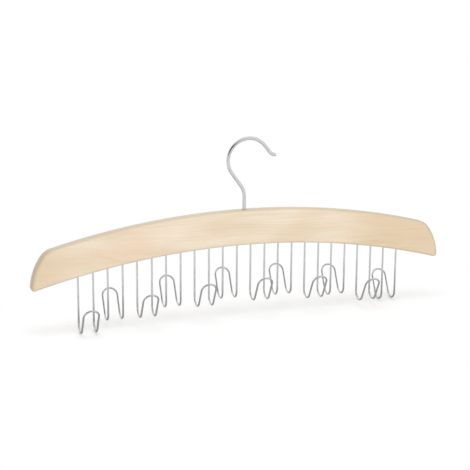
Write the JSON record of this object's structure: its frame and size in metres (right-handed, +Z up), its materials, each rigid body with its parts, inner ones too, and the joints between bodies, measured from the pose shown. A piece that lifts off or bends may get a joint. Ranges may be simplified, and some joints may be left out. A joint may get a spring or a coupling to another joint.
{
  "type": "belt hanger",
  "caption": "Arched wooden hanger with a swivel hook on top and a row of bent wire belt hooks below, leaning by turns to the front and the back.",
  "frame": {"origin": "on the swivel axis, where the inside of the swivel hook's crown crosses it: the rail touches the hook there and the hanger hangs straight below", "axes": "+X along the bar towards the side where the swivel hook opens, -Y the front, +Z up along the swivel axis"},
  "size_m": [0.446, 0.0558, 0.189],
  "materials": {
    "bar_wood": "pale wood under a thin clear satin lacquer",
    "hook_wire": "bright plated steel wire",
    "belt_hook_wire": "bright plated steel wire",
    "washer_steel": "zinc plated steel"
  },
  "bodies": {
    "hook": {"swivel_hook": "hook_wire"},
    "hanger": {"wooden_bar": "bar_wood", "shank_washer": "washer_steel", "belt_hook_01_front": "belt_hook_wire", "belt_hook_02_back": "belt_hook_wire", "belt_hook_03_front": "belt_hook_wire", "belt_hook_04_back": "belt_hook_wire", "belt_hook_05_front": "belt_hook_wire", "belt_hook_06_back": "belt_hook_wire", "belt_hook_07_front": "belt_hook_wire", "belt_hook_08_back": "belt_hook_wire", "belt_hook_09_front": "belt_hook_wire", "belt_hook_10_back": "belt_hook_wire", "belt_hook_11_front": "belt_hook_wire", "belt_hook_12_back": "belt_hook_wire"}
  },
  "joints": [
    {"name": "hook_swivel", "type": "hinge", "parent": "hook", "child": "hanger", "pos_m": [0, 0, -0.0713], "axis": [0, 0, 1], "continuous": true}
  ]
}
